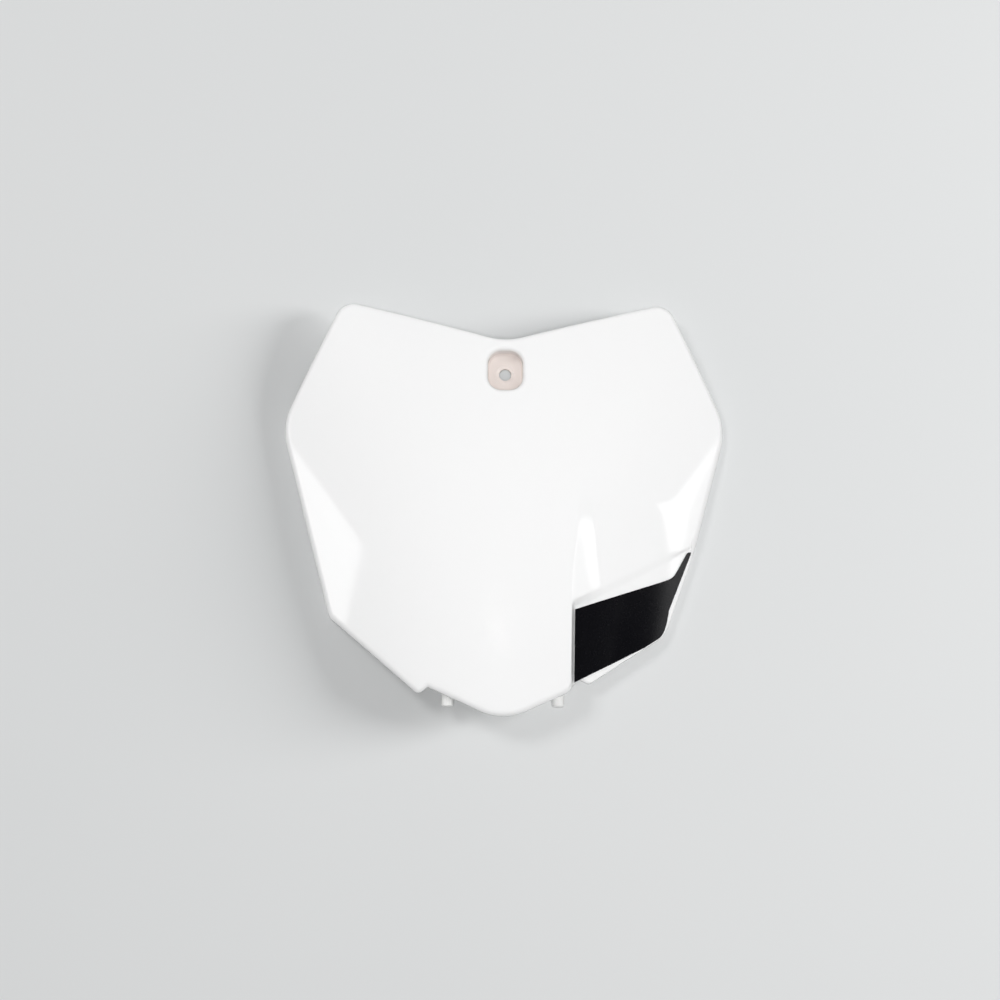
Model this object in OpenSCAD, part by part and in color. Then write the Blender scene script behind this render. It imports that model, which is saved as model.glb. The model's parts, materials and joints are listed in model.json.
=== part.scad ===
// Racing number board: a white moulded shell with a bolt pocket, two rear pegs and a stepped
// corner that carries a thin black panel. It is drawn with its face towards +Z and its top
// towards +Y, then leaned back a little so that its four rear corners stand on the ground.

/* [Outline] */
// Half of the width across the two side corners, before they are rounded (mm)
side_half_width = 123; // [112:1:134]
// Height of the side corners above the middle of the face (mm)
side_height = 52.3; // [46:0.5:60]
// Half of the width across the two top corners (mm)
top_half_width = 89.7; // [80:1:98]
// Height of the two top corners (mm)
top_height = 120.7; // [114:0.5:130]
// Height of the dip in the middle of the top edge (mm)
dip_height = 95; // [92:0.5:104]
// Half of the width across the two lower corners (mm)
low_half_width = 95.2; // [90:0.5:104]
// Depth of the lower corners below the middle of the face (mm)
low_depth = 53.1; // [46:0.5:58]
// Distance of each lower wing's end from the middle (mm)
wing_reach = 45.5; // [44:0.5:48]
// Depth of the wings' ends (mm)
wing_depth = 96.2; // [93:0.5:99]
// Distance of the notch beside the chin from the middle (mm)
notch_reach = 40.6; // [40:0.2:41.4]
// Depth of the chin's tip before it is rounded (mm)
chin_depth = 110.85; // [108:0.5:116]
// Slope of the chin's two edges (degrees)
chin_slope = 24.5; // [22:0.5:27]

/* [Corner radii] */
// Radius of the side corners (mm)
side_radius = 30; // [20:1:40]
// Radius of the top corners (mm)
top_radius = 10; // [6:0.5:14]
// Radius of the dip in the top edge (mm)
dip_radius = 34; // [20:1:50]
// Radius of the lower corners (mm)
low_radius = 8; // [4:0.5:10]
// Radius of the chin's tip (mm)
chin_radius = 30; // [18:1:36]
// Radius of the wings' ends and of the chin's stepped end (mm)
wing_radius = 3.4; // [3:0.1:3.8]
// Radius of the notches beside the chin (mm)
notch_radius = 1.2; // [0.8:0.1:1.6]

/* [Crown] */
// Height of the face's highest line above the middle (mm)
crown_height = 50; // [40:1:60]
// Radius of the face's curve from top to bottom (mm)
crown_length_radius = 600; // [500:10:900]
// Curvature from side to side at the top edge (1/mm)
top_curvature = 0.0020; // [0.0014:0.0001:0.0026]
// Curvature from side to side at the chin (1/mm)
chin_curvature = 0.0066; // [0.0056:0.0001:0.0072]

/* [Wall and rim] */
// Thickness of the moulded wall (mm)
wall = 2.4; // [2:0.1:3]
// Radius of the rounded front edge (mm)
rim_radius = 2.8; // [2:0.1:3.4]
// Radius of the front edge below the black panel (mm)
panel_rim_radius = 0.6; // [0.4:0.1:1]
// Depth of the turned-down rim behind the face (mm)
rim_depth = 5; // [4.2:0.1:7]
// Width of the rim's rear edge (mm)
rim_width = 2.2; // [1.8:0.1:2.8]

/* [Stepped corner] */
// Distance of the step's crest from the middle line (mm)
crest_reach = 36.6; // [35.6:0.2:37.4]
// How far the crest swings outwards at its upper end (mm)
crest_swing = 3.6; // [2:0.2:5]
// Depth below which the crest runs straight (mm)
crest_straight = 40; // [34:1:46]
// Height of the step's upper end, where it runs out (mm)
step_top = 8.6; // [4:0.2:14]
// Depth of the step at the chin (mm)
step_depth = 8.5; // [6:0.25:9.5]
// Share of the depth that is left at the outer edge
step_edge_share = 0.15; // [0.05:0.05:0.4]
// Width of the scooped slope above the panel's seat (mm)
scoop_width = 17.6; // [14:0.2:20]
// Width of the scooped slope at its upper end (mm)
scoop_start = 6.8; // [4:0.2:10]
// Share of the step's length over which the slope grows to its full width
scoop_growth = 0.44; // [0.3:0.02:0.6]
// Width of the steep wall beside the panel (mm)
steep_width = 1.6; // [1.2:0.1:2.2]
// Distance of the stepped lower corner from the middle (mm)
step_corner_reach = 88; // [86:0.5:91]
// Depth of the stepped lower corner below the middle (mm)
step_corner_depth = 61.2; // [58:0.2:63]
// Radius of the stepped lower corner (mm)
step_corner_radius = 16; // [12:1:22]
// Distance of the chin's stepped end from the middle (mm)
chin_end_reach = 34.9; // [34:0.1:36]
// Distance of the stepped wing's notch from the middle (mm)
step_notch_reach = 40.9; // [40.4:0.1:41.4]
// Rise of that notch above the stepped wing's end (mm)
step_notch_rise = 1.8; // [1.2:0.1:2.4]
// Distance of the stepped wing's end from the middle (mm)
step_wing_reach = 46.7; // [45.6:0.1:48]
// Depth of the stepped wing's end (mm)
step_wing_depth = 88.4; // [87.4:0.1:89.6]

/* [Panel seat] */
// Depth of the panel's seat below the scooped floor (mm)
seat_depth = 1; // [0.6:0.1:1.4]
// Height of the seat's upper edge beside the crest, below the middle (mm)
seat_drop = 48.6; // [44:0.2:50]
// Slope of the seat's upper edge (degrees)
seat_slope = 27.6; // [25:0.2:30]
// Width of the sloped edge of the seat (mm)
seat_edge = 1; // [0.6:0.1:1.6]

/* [Black panel] */
// Thickness of the black panel (mm)
panel_thickness = 0.5; // [0.3:0.05:0.8]
// Thickness of the adhesive between the panel and its seat (mm)
panel_glue = 0.2; // [0.15:0.05:0.3]
// Distance of the panel from the steep wall (mm)
panel_gap = 0.4; // [0.2:0.1:1]
// Height of the panel's inner top corner, below the middle (mm)
panel_top_drop = 50.4; // [49.8:0.2:54]
// Slope of the panel's long top edge (degrees)
panel_top_slope = 19; // [16:0.5:22]
// Distance of the foot of the panel's tongue from the middle (mm)
tongue_foot = 93; // [90:0.5:94]
// Slope of the tongue's inner edge (degrees)
tongue_slope = 63; // [58:1:66]
// Distance of the tongue's end below the outer end of the seat's upper edge (mm)
tongue_gap = 4.3; // [3:0.1:6]
// Blend between the long top edge and the tongue (mm)
tongue_blend = 3; // [1:0.5:5]
// Depth of the panel's lowest corner (mm)
panel_heel_depth = 89.6; // [88.6:0.2:90]
// Slope of the panel's lower edge (degrees)
panel_low_slope = 26; // [24:0.5:28]
// Distance of the panel from the outer edge beside the lower corner (mm)
panel_side_margin = 2.8; // [2:0.1:4]
// Distance of the panel from the outer edge beside the tongue's end (mm)
panel_tip_margin = 1; // [0.8:0.1:1.6]
// Distance of the panel from the lower edge (mm)
panel_low_margin = 0.3; // [0.2:0.1:0.8]

/* [Bolt pocket] */
// Height of the pocket's middle above the middle of the face (mm)
pocket_height = 78.4; // [70:0.2:80]
// Width of the pocket's opening (mm)
pocket_width = 19; // [17:0.5:22]
// Length of the pocket's opening (mm)
pocket_length = 22.5; // [20:0.5:24]
// Depth of the pocket's floor below the face's highest line (mm)
pocket_depth = 12; // [9:0.5:14]
// Thickness of the pocket's floor (mm)
pocket_floor = 2.6; // [2:0.1:4]
// Diameter of the bolt hole (mm)
bolt_hole = 6.6; // [6:0.1:8]
// Thickness of the webs beside the pocket and the pegs (mm)
web = 2; // [1.6:0.1:2.6]
// Reach of the pocket's webs (mm)
web_reach = 16; // [10:0.5:20]
// Height of a web below the wall at its far end (mm)
web_tail = 1.6; // [1:0.1:2.4]
// Distance of the webs from the seat behind the pocket (mm)
web_setback = 2; // [1:0.2:3]
// Radius of the pocket's corners (mm)
pocket_radius = 7.5; // [6:0.5:8.5]
// Thickness of the wall round the pocket (mm)
boss_wall = 2; // [1.6:0.1:2.4]

/* [Pegs] */
// Distance between the two pegs (mm)
peg_spacing = 59.5; // [52:0.5:60]
// Diameter of the pegs (mm)
peg_diameter = 6.6; // [6:0.1:8]
// Depth of the pegs' free ends below the middle of the face (mm)
peg_end = 102; // [98:0.5:106]
// Depth of the pegs' axes behind the face's highest line (mm)
peg_back = 31; // [30:0.2:32.6]
// Depth of the shelf's outer face below the middle (mm)
shelf_depth = 86; // [82:0.5:88]
// Height of the shelf below the pegs (mm)
shelf_skirt = 1; // [0.8:0.1:1.6]
// Distance of the shelf's ends from the step behind it (mm)
shelf_gap = 0.8; // [0.5:0.1:2]
// Bevel at the shelf's two lower corners (mm)
shelf_bevel = 3; // [1:0.5:4]
// Length of the webs behind the shelf (mm)
peg_web_length = 26; // [16:1:34]
// Thickness of the shelf that carries the pegs (mm)
shelf_thickness = 3; // [2.4:0.1:4]
// Bevel on the pegs' free ends (mm)
peg_bevel = 0.8; // [0.4:0.1:1.2]

/* [Hidden] */
round_facets = 48;

// Corners of the outline, from the left side corner round each way to the right side corner.
side_l = [-side_half_width, side_height];
side_r = [side_half_width, side_height];
low_l = [-low_half_width, -low_depth];
wing_l = [-wing_reach, -wing_depth];
chin_rise = tan(chin_slope);
notch_l = [-notch_reach, -chin_depth + notch_reach * chin_rise];
chin = [0, -chin_depth];
chin_end = [chin_end_reach, -chin_depth + chin_end_reach * chin_rise];
notch_r = [step_notch_reach, -step_wing_depth + step_notch_rise];
wing_r = [step_wing_reach, -step_wing_depth];
step_corner = [step_corner_reach, -step_corner_depth];
seat_rise = tan(seat_slope);

// The stepped side leaves the plain side where the seat's upper edge meets it.
side_run = (side_half_width - low_half_width) / (side_height + low_depth);
leave_x = (low_half_width + side_run * (low_depth - seat_drop - seat_rise * crest_reach))
    / (1 - side_run * seat_rise);
step_leave = [leave_x, -low_depth + (leave_x - low_half_width) / side_run];

low_chain = [side_l, low_l, wing_l, notch_l, chin, chin_end, notch_r, wing_r,
             step_corner, step_leave, side_r];
low_radii = [side_radius, low_radius, wing_radius, notch_radius, chin_radius, wing_radius,
             notch_radius, wing_radius, step_corner_radius, side_radius, side_radius];
top_chain = [side_l, [-top_half_width, top_height], [0, dip_height],
             [top_half_width, top_height], side_r];
top_radii = [side_radius, top_radius, dip_radius, top_radius, side_radius];

function unit(v) = v / norm(v);
function mix(a, b, t) = a + (b - a) * t;
function clip(t) = min(1, max(0, t));
function ease(t) = let (c = clip(t)) c * c * (3 - 2 * c);

// Fillet of a corner: its centre, where it leaves each side, and its radius.
function fillet(before, at, after, r) =
    let (a = unit(before - at), b = unit(after - at), half = acos(a * b) / 2)
    [at + unit(a + b) * r / sin(half), at + a * r / tan(half), at + b * r / tan(half), r];

function fillets(chain, other, radii) =
    let (last = len(chain) - 1)
    [for (k = [0:last])
        fillet(k == 0 ? other[1] : chain[k - 1], chain[k],
               k == last ? other[len(other) - 2] : chain[k + 1], radii[k])];

low_fillets = fillets(low_chain, top_chain, low_radii);
top_fillets = fillets(top_chain, low_chain, top_radii);

function arc_y(f, sign, x) = f[0].y + sign * sqrt(max(0, f[3] * f[3] - (x - f[0].x) * (x - f[0].x)));

// Height of a chain at x: on a fillet it is the arc, and between two fillets a straight line.
function chain_y(chain, fil, sign, x, k = 0) =
    let (last = len(chain) - 1, end = k == 0 || k == last,
         bend = end ? sign : (chain[k].y < fil[k][0].y ? -1 : 1))
    (k > 0 && x < fil[k][1].x)
        ? mix(fil[k - 1][2].y, fil[k][1].y, (x - fil[k - 1][2].x) / (fil[k][1].x - fil[k - 1][2].x))
        : (k == last || x <= fil[k][2].x) ? arc_y(fil[k], bend, x)
        : chain_y(chain, fil, sign, x, k + 1);

// Columns run up the plate. Each stretch between two stops is cut into equal columns.
x_end = side_radius - low_fillets[0][0].x;
end_cols = 4;
crest_lead = 2.4;
step_middle = (crest_reach + step_corner_reach) / 2;
seat_half = 0.4;
stops = [
    [low_fillets[1][1].x, 5], [low_fillets[1][2].x, 3], [top_fillets[1][2].x, 5],
    [low_fillets[2][1].x, 6], [low_fillets[2][2].x, 2], [low_fillets[3][1].x, 1],
    [low_fillets[3][2].x, 1], [low_fillets[4][1].x, 4], [low_fillets[4][2].x, 4],
    [crest_reach - crest_lead, 4], [crest_reach, 3], [crest_reach + steep_width, 2],
    [low_fillets[6][2].x, 3], [low_fillets[7][2].x, 3], [step_middle, 4], [low_fillets[8][1].x, 5],
    [low_fillets[8][2].x, 4], [step_leave.x - seat_half, 9], [step_leave.x + seat_half, 1],
    [top_fillets[4][1].x, 4]
];
function end_step(k) = (x_end + top_fillets[0][2].x) * pow(k / end_cols, 2);
end_l = [for (k = [0:end_cols - 1]) -x_end + end_step(k)];
end_r = [for (k = [end_cols - 1:-1:0]) x_end - end_step(k)];
middle = [for (s = [0:len(stops) - 1])
    let (a = s == 0 ? top_fillets[0][2].x : stops[s - 1][0])
    for (k = [0:stops[s][1] - 1]) mix(a, stops[s][0], k / stops[s][1])];
columns = concat(end_l, middle, [top_fillets[4][1].x], end_r);
n = len(columns);
ring_n = 2 * n - 2;

// The outline as one closed ring: the lower chain left to right, then the upper chain back.
ring = concat(
    [for (x = columns) [x, chain_y(low_chain, low_fillets, -1, x)]],
    [for (i = [n - 2:-1:1]) [columns[i], chain_y(top_chain, top_fillets, 1, columns[i])]]);

// Mitres of the ring. Between the crest and the notch they point straight up, so that the columns
// of the steep wall stay on it down to the lower edge.
upright_lead = 3.2;
upright_tail = 4;
upright_fade = 2;
function normal(v) = [-v.y, v.x];
function upright(k) =
    k < n ? clip((ring[k].x - crest_reach + upright_lead) / upright_fade)
        * clip((notch_r.x + upright_tail - ring[k].x) / upright_fade) : 0;
ring_in = [for (k = [0:ring_n - 1])
    let (a = normal(unit(ring[k] - ring[(k + ring_n - 1) % ring_n])),
         b = normal(unit(ring[(k + 1) % ring_n] - ring[k])))
    upright(k) > 0 ? mix((a + b) / (1 + a * b), [0, (1 / a.y + 1 / b.y) / 2], upright(k))
        : (a + b) / (1 + a * b)];

function inset(k, s) = ring[k] + ring_in[k] * s;

// The plain crowned face.
function face(x, y) =
    let (t = clip((top_height - y) / (top_height + chin_depth)),
         c = mix(top_curvature, chin_curvature, t))
    -pow(y - crown_height, 2) / (2 * crown_length_radius) - c * x * x / 2;

// Crest line of the step, which swings outwards towards its upper end. Above that end there is
// no crest, and the line swings back below the pocket.
swing_end = pocket_height - pocket_length / 2;
function swing(y) =
    crest_swing * ease((y + crest_straight) / (step_top + crest_straight))
    * ease((swing_end - y) / (swing_end - crown_height / 2));
function seat_line(x) = -seat_drop + seat_rise * max(0, x - crest_reach);
function edge_x(y) = mix(step_corner.x, step_leave.x, (y - step_corner.y) / (step_leave.y - step_corner.y));

fade_from = 0.45;
scoop_power = 1.1;
scoop_rise = 0.57;
scoop_spread = 0.66;
scoop_fall = 0.33;

// Depth of the step below the plain face. The grow value moves it outwards for the rear face.
function step(x, y, grow) =
    let (crest = crest_reach + swing(y) - grow,
         down = clip((step_top + grow - y) / (step_top + wing_depth)),
         u = clip((x - crest) / (edge_x(y) - crest)),
         fade = mix(1, step_edge_share, ease((u - fade_from) / (1 - fade_from))),
         full = step_depth * pow(down, scoop_rise + scoop_spread * u) * (1 - scoop_fall * u) * fade,
         width = mix(scoop_start, scoop_width, clip(down / scoop_growth)),
         v = clip((x - crest) / width),
         scooped = full * (1 - pow(1 - v, scoop_power)),
         steep = clip((x - crest) / steep_width),
         seated = (full + seat_depth) * steep,
         low = clip((seat_line(x) + grow + seat_edge / 2 - y) / seat_edge))
    mix(scooped, max(scooped, seated), low);

function front(x, y) = face(x, y) - step(x, y, 0);
function rear(x, y) = face(x, y) - step(x, y, wall) - wall;

// Radius of the front edge: small where the black panel reaches it.
edge_blend = 7;
function edge_radius(k) =
    let (p = ring[k],
         w = clip((seat_line(p.x) - p.y) / edge_blend) * clip((p.x - notch_r.x) / edge_blend))
    mix(rim_radius, panel_rim_radius, w);

// Heights of the rows in a column between its lower and its upper end.
front_rows = [6, 2, 8, 7];
rear_rows = [5, 2, 5, 5];
row_gap = 1.4;
row_share = 0.12;
step_margin = 6;
function row_stops(x, low, high, grow) =
    let (h = high - low,
         seat = max(low + min(row_gap, row_share * h), min(seat_line(x) + grow, high - 3 * row_share * h)),
         half = min(seat_edge / 2, row_share * h / 4),
         top = max(seat + row_share * h, min(step_top + step_margin, high - row_share * h)))
    [low, seat - half, seat + half, top, high];
function row_y(row, rows, marks, s = 0) =
    row <= rows[s] || s == len(rows) - 1
        ? mix(marks[s], marks[s + 1], row / rows[s])
        : row_y(row - rows[s], rows, marks, s + 1);
function total(v, k = 0) = k == len(v) ? 0 : v[k] + total(v, k + 1);

// Columns near the crest follow it, so that the crease stays sharp. Those of the rear face also
// keep a wall's thickness from it, from the rim to above the step.
crest_span = 26;
function near_crest(x) = ease(1 - abs(x - crest_reach) / crest_span);
function on_column(i, x, y, high) = mix(x, columns[i], near_crest(x) * ease((high - y) / crest_span));
function wall_shift(y, low) = ease((swing_end - y) / crown_height) * ease((y - low) / step_margin);
function grid_point(i, row, rows, s, grow) =
    let (a = inset(i, s[i]), b = inset(ring_n - i, s[ring_n - i]),
         y = row_y(row, rows, row_stops(a.x, a.y, b.y, grow)),
         x = on_column(i, mix(a.x, b.x, (y - a.y) / (b.y - a.y)), y, b.y))
    [x + near_crest(x) * (swing(y) - grow * wall_shift(y, a.y)), y];

function flat(lists) = [for (l = lists) for (v = l) v];
function ring_quads(a, b) = flat([for (k = [0:ring_n - 1])
    let (m = (k + 1) % ring_n) [[a + k, a + m, b + m], [a + k, b + m, b + k]]]);
function grid_index(i, row, rows, loop, base) =
    i == 0 ? loop : i == n - 1 ? loop + n - 1
    : row == 0 ? loop + i : row == rows ? loop + ring_n - i
    : base + (i - 1) * (rows - 1) + row - 1;
function real(t) = t[0] != t[1] && t[1] != t[2] && t[2] != t[0];
function grid_faces(rows, loop, base) = [for (i = [0:n - 2]) for (row = [0:rows - 1])
    let (a = grid_index(i, row, rows, loop, base), b = grid_index(i + 1, row, rows, loop, base),
         c = grid_index(i + 1, row + 1, rows, loop, base), d = grid_index(i, row + 1, rows, loop, base))
    for (t = [[a, b, c], [a, c, d]]) if (real(t)) t];
function turned(faces) = [for (f = faces) [f[0], f[2], f[1]]];

// Rings of the rim, from the face over the rounded edge and round to the back.
edge_angles = [0, 30, 60, 90];
front_s = [for (k = [0:ring_n - 1]) edge_radius(k)];
rim_draft = 0.5;
rear_s = [for (k = [0:ring_n - 1]) rim_width + rim_draft];
function with_z(p, z) = [p.x, p.y, z];
edge_rings = [for (a = edge_angles) [for (k = [0:ring_n - 1])
    let (p = inset(k, front_s[k] * (1 - sin(a)))) with_z(p, front(p.x, p.y) - front_s[k] * (1 - cos(a)))]];
outer_ring = [for (p = ring) with_z(p, front(p.x, p.y) - rim_depth)];
inner_ring = [for (k = [0:ring_n - 1])
    let (p = inset(k, rim_width)) with_z(p, front(p.x, p.y) - rim_depth)];
rear_ring = [for (k = [0:ring_n - 1])
    let (p = inset(k, rear_s[k])) with_z(p, rear(p.x, p.y))];
rings = concat(edge_rings, [outer_ring, inner_ring, rear_ring]);

front_total = total(front_rows);
rear_total = total(rear_rows);
front_inner = [for (i = [1:n - 2]) for (row = [1:front_total - 1])
    let (p = grid_point(i, row, front_rows, front_s, 0)) with_z(p, front(p.x, p.y))];
rear_inner = [for (i = [1:n - 2]) for (row = [1:rear_total - 1])
    let (p = grid_point(i, row, rear_rows, rear_s, wall)) with_z(p, rear(p.x, p.y))];
shell_points = concat(flat(rings), front_inner, rear_inner);
rear_loop = ring_n * (len(rings) - 1);
front_base = ring_n * len(rings);
rear_base = front_base + len(front_inner);
shell_faces = concat(
    turned(grid_faces(front_total, 0, front_base)),
    flat([for (r = [0:len(rings) - 2]) ring_quads(ring_n * r, ring_n * (r + 1))]),
    grid_faces(rear_total, rear_loop, rear_base));

// The lean that brings the lower and the side corners onto the ground together.
contact_apart = 40;
contact_low = [for (p = outer_ring) if (p.z == min([for (q = outer_ring) if (q.x < 0) q.z])) p][0];
lean = min([for (p = outer_ring) if (p.x < 0 && p.y > contact_low.y + contact_apart)
    atan2(p.z - contact_low.z, p.y - contact_low.y)]);
function leaned(p) = [p.x, p.y * cos(lean) + p.z * sin(lean), p.z * cos(lean) - p.y * sin(lean)];
leaned_points = [for (p = shell_points) leaned(p)];
ground = min([for (p = leaned_points) p.z]);
middle_y = (min([for (p = leaned_points) p.y]) + max([for (p = leaned_points) p.y])) / 2;

module in_place() {
    translate([0, -middle_y, -ground])
        rotate([-lean, 0, 0])
            children();
}

module shell() {
    polyhedron(points = shell_points, faces = shell_faces, convexity = 10);
}

// A rounded rectangle with straight walls, whose round corners are true cylinders.
module rounded_block(width, length, r, height) {
    linear_extrude(height) {
        square([width - 2 * r, length], center = true);
        square([width, length - 2 * r], center = true);
        for (x = [-1, 1], y = [-1, 1])
            translate([x * (width / 2 - r), y * (length / 2 - r)])
                circle(r, $fn = round_facets);
    }
}

boss_base = -pocket_depth - pocket_floor;
boss_top = face(0, pocket_height) - wall / 2;

module boss() {
    translate([0, pocket_height, boss_base])
        rounded_block(pocket_width + 2 * boss_wall, pocket_length + 2 * boss_wall,
                      pocket_radius + boss_wall, boss_top - boss_base);
}

// A web from x = a to x = b at height y. Its upper edge lies inside the wall, and its lower edge
// rises from the base at a to just below the wall at b.
web_steps = 8;
module cross_web(a, b, y, base) {
    upper = [for (k = [0:web_steps]) let (x = mix(a, b, k / web_steps)) [x, face(x, y) - wall / 2]];
    translate([0, y + web / 2, 0])
        rotate([90, 0, 0])
            linear_extrude(web)
                polygon(concat([[a, base]], upper, [[b, face(b, y) - wall - web_tail]]));
}

// The same kind of web, from y = a to y = b at the distance x from the middle line.
module long_web(a, b, x, base) {
    upper = [for (k = [0:web_steps]) let (y = mix(a, b, k / web_steps)) [y, face(x, y) - wall / 2]];
    translate([x - web / 2, 0, 0])
        rotate([90, 0, 90])
            linear_extrude(web)
                polygon(concat([[a, base]], upper, [[b, face(x, b) - wall - web_tail]]));
}

module pocket_webs() {
    half = pocket_width / 2 + boss_wall / 2;
    tall = pocket_height - pocket_length / 2 - boss_wall / 2;
    for (side = [-1, 1])
        cross_web(side * half, side * (half + web_reach), pocket_height, boss_base + web_setback);
    long_web(tall, tall - web_reach, 0, boss_base + web_setback);
}

module peg_shelf() {
    half = crest_reach - wall - shelf_gap;
    base = -peg_back - peg_diameter / 2 - shelf_skirt;
    upper = [for (k = [0:web_steps]) let (x = mix(half, -half, k / web_steps))
        [x, face(x, -shelf_depth) - wall / 2]];
    lower = [[-half, base + shelf_bevel], [-half + shelf_bevel / 2, base],
             [half - shelf_bevel / 2, base], [half, base + shelf_bevel]];
    translate([0, -shelf_depth + shelf_thickness, 0])
        rotate([90, 0, 0])
            linear_extrude(shelf_thickness)
                polygon(concat(lower, upper));
}

module peg(x) {
    straight = peg_end - shelf_depth + shelf_thickness / 2 - peg_bevel;
    translate([x, -shelf_depth + shelf_thickness / 2, -peg_back])
        rotate([90, 0, 0]) {
            cylinder(h = straight, d = peg_diameter, $fn = round_facets);
            translate([0, 0, straight])
                cylinder(h = peg_bevel, d1 = peg_diameter, d2 = peg_diameter - 2 * peg_bevel,
                         $fn = round_facets);
        }
}

module peg_web(x) {
    a = -shelf_depth + shelf_thickness / 2;
    long_web(a, a + peg_web_length, x, -peg_back);
}

module number_plate() {
    color("white")
        in_place()
            difference() {
                union() {
                    shell();
                    boss();
                    pocket_webs();
                    peg_shelf();
                    for (side = [-1, 1]) {
                        peg(side * peg_spacing / 2);
                        peg_web(side * peg_spacing / 2);
                    }
                }
                translate([0, pocket_height, -pocket_depth])
                    rounded_block(pocket_width, pocket_length, pocket_radius, pocket_depth + wall);
                translate([0, pocket_height, boss_base - pocket_floor])
                    cylinder(h = 3 * pocket_floor, d = bolt_hole, $fn = round_facets);
            }
}

// Top edge of the black panel: a long slanting line, then the steep inner edge of the tongue,
// then the tongue's level end. The three are joined by soft corners.
panel_left = crest_reach + steep_width + panel_gap;
tongue_y = -panel_top_drop + (tongue_foot - panel_left) * tan(panel_top_slope);
tip_blend = 1.6;
function panel_top(x) =
    let (a = -panel_top_drop + (x - panel_left) * tan(panel_top_slope),
         b = tongue_y + (x - tongue_foot) * tan(tongue_slope),
         end = step_leave.y - tongue_gap,
         c = (b + end - norm([b - end, tip_blend])) / 2)
    min(seat_line(x) - seat_edge / 2 - panel_gap, (a + c + norm([a - c, tongue_blend])) / 2);

// Its lower edge is a straight line that bridges the notch. Further out it keeps a margin inside
// the outline. Round the corner that margin grows to the one along the side, and up the side it
// shrinks again towards the tongue's end.
tiny = 0.05;
margin_blend = 8;
tip_height = 0.9;
function panel_low(x) =
    let (y = chain_y(low_chain, low_fillets, -1, x),
         slope = (chain_y(low_chain, low_fillets, -1, x + tiny) - y) / tiny,
         turn = ease((y + step_corner_depth + margin_blend / 4) / margin_blend),
         up = clip((y - step_corner.y) / (step_leave.y - step_corner.y)),
         margin = mix(panel_low_margin, mix(panel_side_margin, panel_tip_margin, up), turn),
         heel = -panel_heel_depth + (x - panel_left) * tan(panel_low_slope))
    x < wing_r.x ? heel : max(heel, y + margin * norm([1, slope]));
function panel_end(x) = panel_top(x) - panel_low(x) < tip_height ? x : panel_end(x + tiny);
panel_right = panel_end(tongue_foot);
panel_cols = 44;
panel_crowding = 1.25;
panel_rows = 8;
panel_grid = [for (i = [0:panel_cols]) for (j = [0:panel_rows])
    let (x = mix(panel_left, panel_right, 1 - pow(1 - i / panel_cols, panel_crowding)))
    [x, mix(panel_low(x), panel_top(x), j / panel_rows)]];
panel_count = (panel_cols + 1) * (panel_rows + 1);
function panel_at(i, j) = i * (panel_rows + 1) + j;
panel_loop = concat(
    [for (i = [0:panel_cols - 1]) panel_at(i, 0)],
    [for (j = [0:panel_rows - 1]) panel_at(panel_cols, j)],
    [for (i = [panel_cols:-1:1]) panel_at(i, panel_rows)],
    [for (j = [panel_rows:-1:1]) panel_at(0, j)]);

function panel_sheet() = [for (i = [0:panel_cols - 1]) for (j = [0:panel_rows - 1])
    for (t = [[panel_at(i, j), panel_at(i + 1, j), panel_at(i + 1, j + 1)],
              [panel_at(i, j), panel_at(i + 1, j + 1), panel_at(i, j + 1)]]) t];

module black_panel() {
    lower = [for (p = panel_grid) with_z(p, front(p.x, p.y) + panel_glue)];
    upper = [for (p = panel_grid) with_z(p, front(p.x, p.y) + panel_glue + panel_thickness)];
    m = len(panel_loop);
    below = [for (t = panel_sheet()) [t[0] + panel_count, t[1] + panel_count, t[2] + panel_count]];
    walls = flat([for (k = [0:m - 1])
        let (a = panel_loop[k], b = panel_loop[(k + 1) % m])
        [[a, b, b + panel_count], [a, b + panel_count, a + panel_count]]]);
    color([0.03, 0.03, 0.04])
        in_place()
            polyhedron(points = concat(upper, lower),
                       faces = concat(turned(panel_sheet()), walls, below), convexity = 6);
}

number_plate();
black_panel();
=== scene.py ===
# %% [markdown]
# # A racing number board
# The real board is one thin shell of white plastic from a mould, with a small black panel glued
# into a step of one corner. It is a good lesson in surfaces: nearly everything that the eye
# reads, the crown, the scooped step and the rounded edge, is a height above a flat outline.
# So the shape is worked out as formulas in numpy, and Blender gets finished meshes from it.
#
# The frame comes first. It holds the solids from the construction step, in metres.

# %% Load the frame
import json

import bpy
import numpy as np
from mathutils import Matrix


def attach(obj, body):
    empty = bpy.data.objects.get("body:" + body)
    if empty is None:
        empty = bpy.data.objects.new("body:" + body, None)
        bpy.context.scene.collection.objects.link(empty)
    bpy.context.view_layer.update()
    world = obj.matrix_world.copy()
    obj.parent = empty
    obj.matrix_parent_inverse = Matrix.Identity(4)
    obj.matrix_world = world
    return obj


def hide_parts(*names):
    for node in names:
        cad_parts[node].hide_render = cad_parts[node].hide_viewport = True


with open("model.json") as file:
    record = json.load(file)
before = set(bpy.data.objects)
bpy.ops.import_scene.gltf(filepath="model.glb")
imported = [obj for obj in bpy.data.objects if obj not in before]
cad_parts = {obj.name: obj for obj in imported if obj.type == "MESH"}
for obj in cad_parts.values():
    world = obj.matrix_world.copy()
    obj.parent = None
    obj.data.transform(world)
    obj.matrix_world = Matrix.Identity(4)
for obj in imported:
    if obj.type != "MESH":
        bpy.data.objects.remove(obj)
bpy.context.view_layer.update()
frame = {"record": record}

# %% [markdown]
# The board was drawn flat, face up, in millimetres, then leaned back until its rear corners
# stood on the ground. Working in the flat drawing keeps each formula short, so the points are
# leaned only at the very end. The lean could be typed in again, but the bolt hole already
# carries it: the hole's axis is the drawing's upright, and its middle is a known point.

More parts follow.
